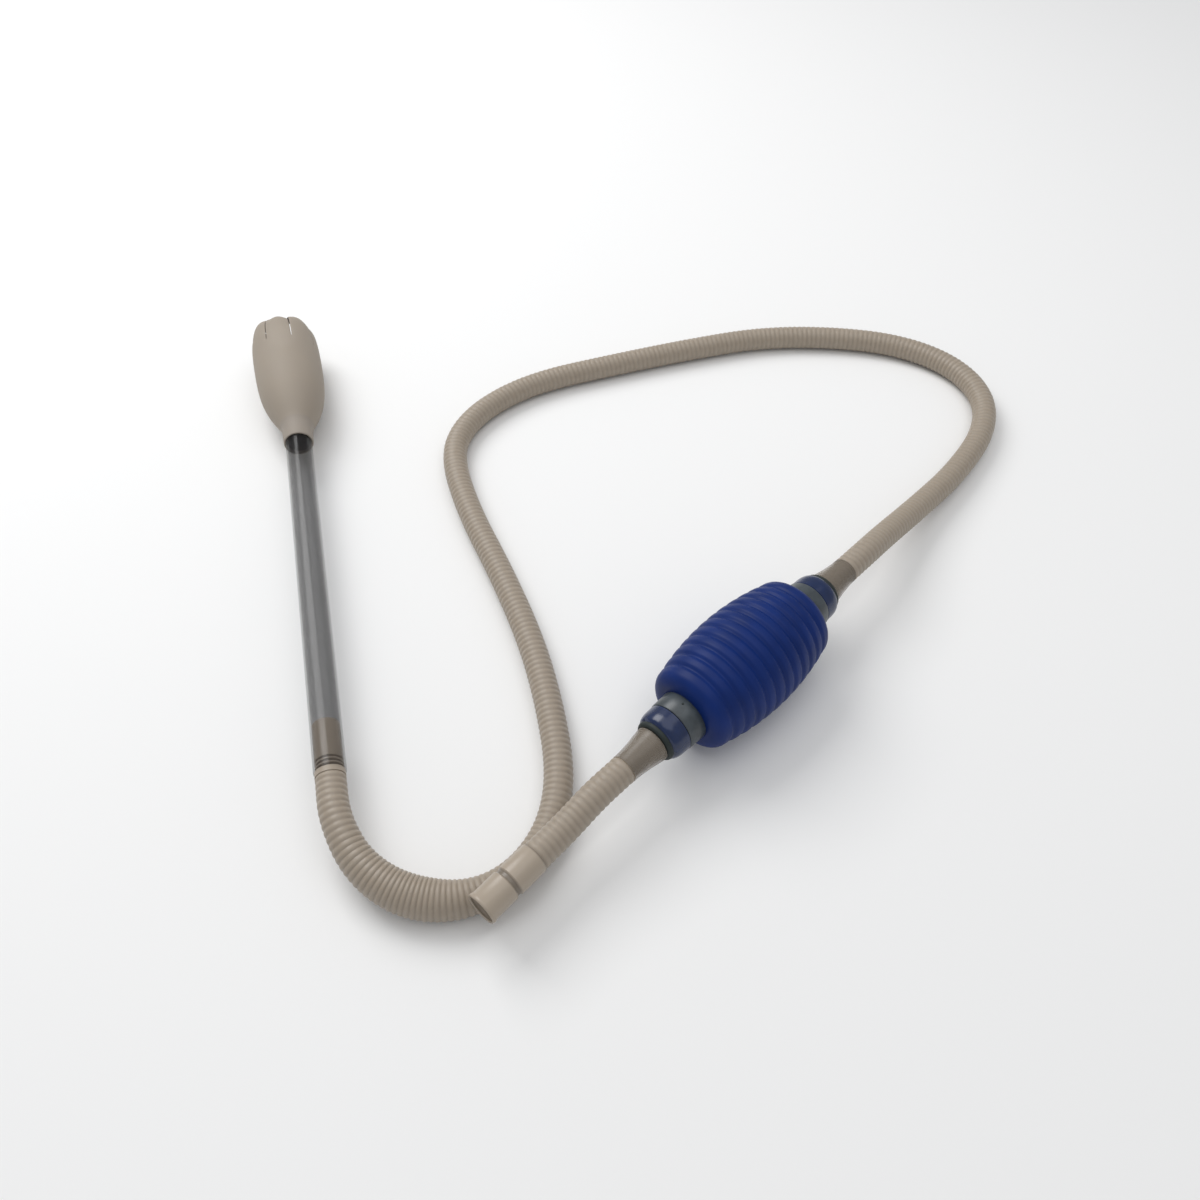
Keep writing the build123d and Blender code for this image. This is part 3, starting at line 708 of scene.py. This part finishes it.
class SIPHON_OT_strainer(bpy.types.Operator):
    """Build the frosted strainer: a tulip of eight petals that close round its mouth"""

    bl_idname = "siphon.strainer"
    bl_label = "Strainer"

    def execute(self, context):
        petals, columns = 8, 8
        length, slot_length, wall, grip = 107.0, 30.0, 1.1, 10.0
        outline = [
            (-8.2, 9.0), (-7.4, 9.05), (0, 9.3), (4, 9.6), (8, 10.3), (14, 13.0), (22, 16.4), (34, 19.8),
            (46, 21.1), (58, 21.7), (72, 21.95), (77, 21.95), (84, 21.9), (92, 21.5), (98, 20.8),
            (102.5, 19.2), (105.8, 16.2), (107.4, 12.4), (107.8, 9.0),
        ]
        bm = turned(outline, Matrix(), closed=False, steps=petals * columns)
        slots = []
        for face in bm.faces:
            centre = face.calc_center_median()
            column = int(self.turn_of(centre) * petals * columns) % columns
            if column == 0 and centre.x > (length - slot_length) * MM:
                slots.append(face)
        bmesh.ops.delete(bm, geom=slots, context="FACES")
        scallop = context.scene.siphon_sizes.petal_scallop
        for vertex in bm.verts:
            self.shape_petal(vertex, petals, columns, length, scallop)
        first_slot = Matrix.Rotation(radians(-22.0), 4, "X")
        bmesh.ops.transform(bm, matrix=first_slot, verts=bm.verts[:])
        # The tulip leans a little to one side of its neck.
        lean = tan(radians(2.2))
        for vertex in bm.verts:
            vertex.co.y += max(vertex.co.x - grip * MM, 0.0) * lean
        bmesh.ops.transform(bm, matrix=STRAINER_PLACE, verts=bm.verts[:])
        bmesh.ops.recalc_face_normals(bm, faces=bm.faces[:])
        piece = add_piece("strainer_moulded", bm, [frosted_polyethylene(context.scene.siphon_colours)],
                          "strainer", ["strainer_guard"])
        thickness = piece.modifiers.new("wall", "SOLIDIFY")
        thickness.thickness = wall * MM
        thickness.offset = -1.0
        smooth = piece.modifiers.new("smooth", "SUBSURF")
        smooth.levels = 2
        smooth.render_levels = 2
        return {"FINISHED"}

    def turn_of(self, point):
        """How far round the axis a point is, from 0 to 1."""
        return atan2(point.y, point.z) % tau / tau

    def shape_petal(self, vertex, petals, columns, length, scallop):
        """Narrows the slots, rounds each petal's tip, and lets the petals close unevenly."""
        petal_root, slot_closing, unevenness = 76.5, 0.9, 0.9 * MM
        past = vertex.co.x / MM - petal_root
        if past <= 0:
            return
        share = past / (length - petal_root)
        across = (self.turn_of(vertex.co) * petals * columns + 0.5) % columns - 0.5
        petal = int(self.turn_of(vertex.co) * petals - 0.5 / columns) % petals
        narrowed = slot_closing * (0.5 - across) if across < 1.5 else 0.0
        swing = Matrix.Rotation(-narrowed * tau / petals / columns, 4, "X")
        within = min(max((across - 1) / (columns - 1), 0.0), 1.0)
        tip = sin(pi * within)
        uneven = sin(petal * 2.4 + 0.7)
        vertex.co = swing @ vertex.co
        vertex.co.x += share**2 * (scallop * (tip - 0.6) + unevenness * uneven)
        shrink = 1 + share**3 * (0.04 * uneven - 0.05 * (1 - tip))
        vertex.co.y *= shrink
        vertex.co.z *= shrink


class SIPHON_OT_bulb(bpy.types.Operator):
    """Build the ribbed squeeze bulb as a closed shell"""

    bl_idname = "siphon.bulb"
    bl_label = "Squeeze bulb"

    def execute(self, context):
        groove = context.scene.siphon_sizes.bulb_groove / MM
        ribs_end = RIB_PITCH * RIBS_EACH_SIDE
        outside = []
        samples_per_rib = 12
        samples = int(2 * RIBS_EACH_SIDE * samples_per_rib)
        for index in range(samples + 1):
            distance = -ribs_end + 2 * ribs_end * index / samples
            valley = (0.5 + 0.5 * cos(tau * distance / RIB_PITCH)) ** 3
            outside.append((distance, self.barrel(distance) - groove * valley))
        shoulder = []
        reach = BULB_HALF - ribs_end
        drop, shoulder_steps = 8.2, 8
        for index in range(1, shoulder_steps + 1):
            turn = pi / 2 * index / shoulder_steps
            shoulder.append((ribs_end + reach * sin(turn), self.barrel(ribs_end) - drop * (1 - cos(turn))))
        neck, end_wall = 12.4, 3.0
        rim = [(BULB_HALF, neck + 0.6), (BULB_HALF - 0.4, neck), (BULB_HALF - end_wall, neck)]
        inside = [(BULB_HALF - end_wall, 17.0), (38.0, 20.6), (20.0, 24.3), (0.0, 25.2)]
        half = shoulder + rim + inside
        mirrored = [(-distance, radius) for distance, radius in reversed(half[:-1])]
        bm = turned(outside + half + mirrored, INLET_PLACE, steps=128)
        piece = add_piece("squeeze_bulb_moulded", bm, [bulb_vinyl(context.scene.siphon_colours)],
                          "inlet_side", ["squeeze_bulb"])
        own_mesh(piece)
        return {"FINISHED"}

    def barrel(self, distance):
        """The radius over the ribs, in mm."""
        return BULB_RADIUS - BULB_FALL * distance**2


class SIPHON_OT_connectors(bpy.types.Operator):
    """Build the collar, cap, seal and nozzle at each end of the bulb"""

    bl_idname = "siphon.connectors"
    bl_label = "Connectors"

    def execute(self, context):
        colours = context.scene.siphon_colours
        rubber = seal_rubber(colours)
        kinds = [
            ("collar", self.collar, [collar_plastic(colours), rubber], "collar_plastic"),
            ("cap", self.cap, [cap_plastic(colours)], "cap_plastic"),
            ("gasket", self.seal, [rubber], "gasket_rubber"),
            ("nozzle", self.nozzle, [smoky_nozzle(colours)], "clear_plastic"),
        ]
        for end, place in (("inlet", INLET_PLACE), ("outlet", OUTLET_PLACE)):
            for kind, build, materials, slot in kinds:
                node = f"{end}_{kind}"
                add_piece(f"{node}_moulded", build(place), materials, f"{end}_side", [node])
        return {"FINISHED"}

    def collar(self, place):
        outline = [
            (38.8, 10.2), (38.8, 12.0), (39.2, 12.35), (44.8, 12.35), (44.8, 13.9), (45.2, 14.0),
            (54.3, 13.75), (54.9, 13.4), (54.9, 10.2),
        ]
        bm = turned(outline, place)
        # The dark stub left where the moulding gate was snapped off, on the collar's top.
        gate = Matrix.Translation((48.0 * MM, 0.6 * MM, 13.85 * MM))
        stub = bmesh.ops.create_cone(
            bm, cap_ends=True, segments=16, radius1=0.8 * MM, radius2=0.55 * MM, depth=0.5 * MM,
            matrix=place @ gate,
        )
        for face in bm.faces:
            face.material_index = int(all(vertex in stub["verts"] for vertex in face.verts))
        return bm

    def cap(self, place):
        outline = [(54.9, 10.65), (54.9, 12.9), (55.3, 13.4), (58.8, 13.35)]
        outline += self.quarter(58.8, 11.3, 6.0, 2.05, 7)
        outline += [(65.0, 11.1), (64.8, 10.65)]
        return turned(outline, place)

    def seal(self, place):
        outline = [(59.0, 8.0), (59.0, 10.6), (64.9, 10.6), (65.1, 11.2)]
        outline += self.quarter(65.8, 9.6, 1.8, 1.7, 6)
        outline += [(67.6, 8.0)]
        return turned(outline, place)

    def quarter(self, distance, radius, long, high, steps):
        """A quarter of an ellipse, from just past its top out to its end."""
        turns = [pi / 2 * index / steps for index in range(1, steps + 1)]
        return [(distance + long * sin(turn), radius + high * cos(turn)) for turn in turns]

    def nozzle(self, place):
        waist_end, barb_pitch, tip, root = 71.0, 3.75, 6.3, 5.9
        outline = [(55.5, 9.0), (55.5, 10.6), (59.0, 10.6), (59.0, 8.0), (waist_end, 8.0), (waist_end, tip)]
        for barb in range(1, 4):
            finish = waist_end + barb_pitch * barb
            outline += [(finish - 0.05, root), (finish, tip)]
        outline += [(waist_end + 4 * barb_pitch, root)]
        outline += [(86.0, 4.8), (63.0, 4.8)]
        return turned(outline, place, rounding=0.05)


class SIPHON_OT_valves(bpy.types.Operator):
    """Give the hidden valve seats and flaps their plastic and rubber"""

    bl_idname = "siphon.valves"
    bl_label = "Valves"

    def execute(self, context):
        colours = context.scene.siphon_colours
        finishes = {"valve_seat": valve_plastic(colours), "flap": seal_rubber(colours)}
        for end in ("inlet", "outlet"):
            for kind, material in finishes.items():
                node = frame["nodes"][f"{end}_{kind}"]
                for material_slot in node.material_slots:
                    material_slot.material = material
        return {"FINISHED"}


class SIPHON_OT_stage(bpy.types.Operator):
    """Set up the pale floor, the soft lights and the camera"""

    bl_idname = "siphon.stage"
    bl_label = "Stage"

    def execute(self, context):
        self.floor(context)
        self.world(context)
        aim = Vector((0.05, -0.02, 0.0))
        self.light(context, "key", (-0.55, 0.95, 1.25), aim, 1.0, 16.0)
        self.light(context, "top", (0.25, -0.1, 1.7), aim, 1.6, 8.0)
        self.light(context, "fill", (0.9, -1.1, 0.9), aim, 1.3, 0.4)
        self.camera(context)
        return {"FINISHED"}

    def floor(self, context):
        bm = bmesh.new()
        bmesh.ops.create_grid(bm, x_segments=1, y_segments=1, size=6.0)
        mesh = bpy.data.meshes.new("studio_floor")
        bm.to_mesh(mesh)
        bm.free()
        material, shader = new_material("seamless_paper", Roughness=0.9)
        shader.inputs["Base Color"].default_value = linear_tuple(context.scene.siphon_colours.floor)
        mesh.materials.append(material)
        floor = bpy.data.objects.new("studio_floor", mesh)
        context.scene.collection.objects.link(floor)

    def world(self, context):
        world = bpy.data.worlds.new("studio")
        world.use_nodes = True
        background = world.node_tree.nodes["Background"]
        background.inputs["Color"].default_value = linear("#fbfcff")
        background.inputs["Strength"].default_value = 0.46
        context.scene.world = world
        context.scene.view_settings.view_transform = "Standard"

    def light(self, context, name, place, aim, size, power):
        data = bpy.data.lights.new(name, "AREA")
        data.size = size
        data.energy = power
        lamp = bpy.data.objects.new(name, data)
        lamp.location = place
        lamp.rotation_euler = (aim - Vector(place)).to_track_quat("-Z", "Y").to_euler()
        context.scene.collection.objects.link(lamp)

    def camera(self, context):
        aim = Vector((0.023, -0.0674, 0.0))
        heading, elevation, distance = radians(13.9), radians(50.65), 0.59906
        back = Vector((-sin(heading) * cos(elevation), -cos(heading) * cos(elevation), sin(elevation)))
        data = bpy.data.cameras.new("camera")
        data.lens = 31.26
        data.sensor_width = 36.0
        camera = bpy.data.objects.new("camera", data)
        camera.location = aim + back * distance
        camera.rotation_euler = (-back).to_track_quat("-Z", "Y").to_euler()
        context.scene.collection.objects.link(camera)
        context.scene.camera = camera


class SIPHON_PT_panel(bpy.types.Panel):
    """Lists the siphon's pieces and settings"""

    bl_label = "Siphon"
    bl_idname = "SIPHON_PT_panel"
    bl_space_type = "VIEW_3D"
    bl_region_type = "UI"
    bl_category = "Siphon"

    def draw(self, context):
        for step in STEPS:
            self.layout.operator(step.bl_idname)
        for group in (context.scene.siphon_sizes, context.scene.siphon_colours):
            for name in group.bl_rna.properties.keys():
                if name not in ("rna_type", "name"):
                    self.layout.prop(group, name)


STEPS = (
    SIPHON_OT_stage,
    SIPHON_OT_hoses,
    SIPHON_OT_wand,
    SIPHON_OT_strainer,
    SIPHON_OT_bulb,
    SIPHON_OT_connectors,
    SIPHON_OT_valves,
)
CLASSES = (SiphonSizes, SiphonColours, *STEPS, SIPHON_PT_panel)


def register():
    for kind in CLASSES:
        bpy.utils.register_class(kind)
    bpy.types.Scene.siphon_sizes = PointerProperty(type=SiphonSizes)
    bpy.types.Scene.siphon_colours = PointerProperty(type=SiphonColours)


def unregister():
    del bpy.types.Scene.siphon_colours
    del bpy.types.Scene.siphon_sizes
    for kind in reversed(CLASSES):
        bpy.utils.unregister_class(kind)


def main():
    register()
    bpy.ops.siphon.stage()
    bpy.ops.siphon.hoses()
    bpy.ops.siphon.wand()
    bpy.ops.siphon.strainer()
    bpy.ops.siphon.bulb()
    bpy.ops.siphon.connectors()
    bpy.ops.siphon.valves()


if __name__ == "__main__":
    main()
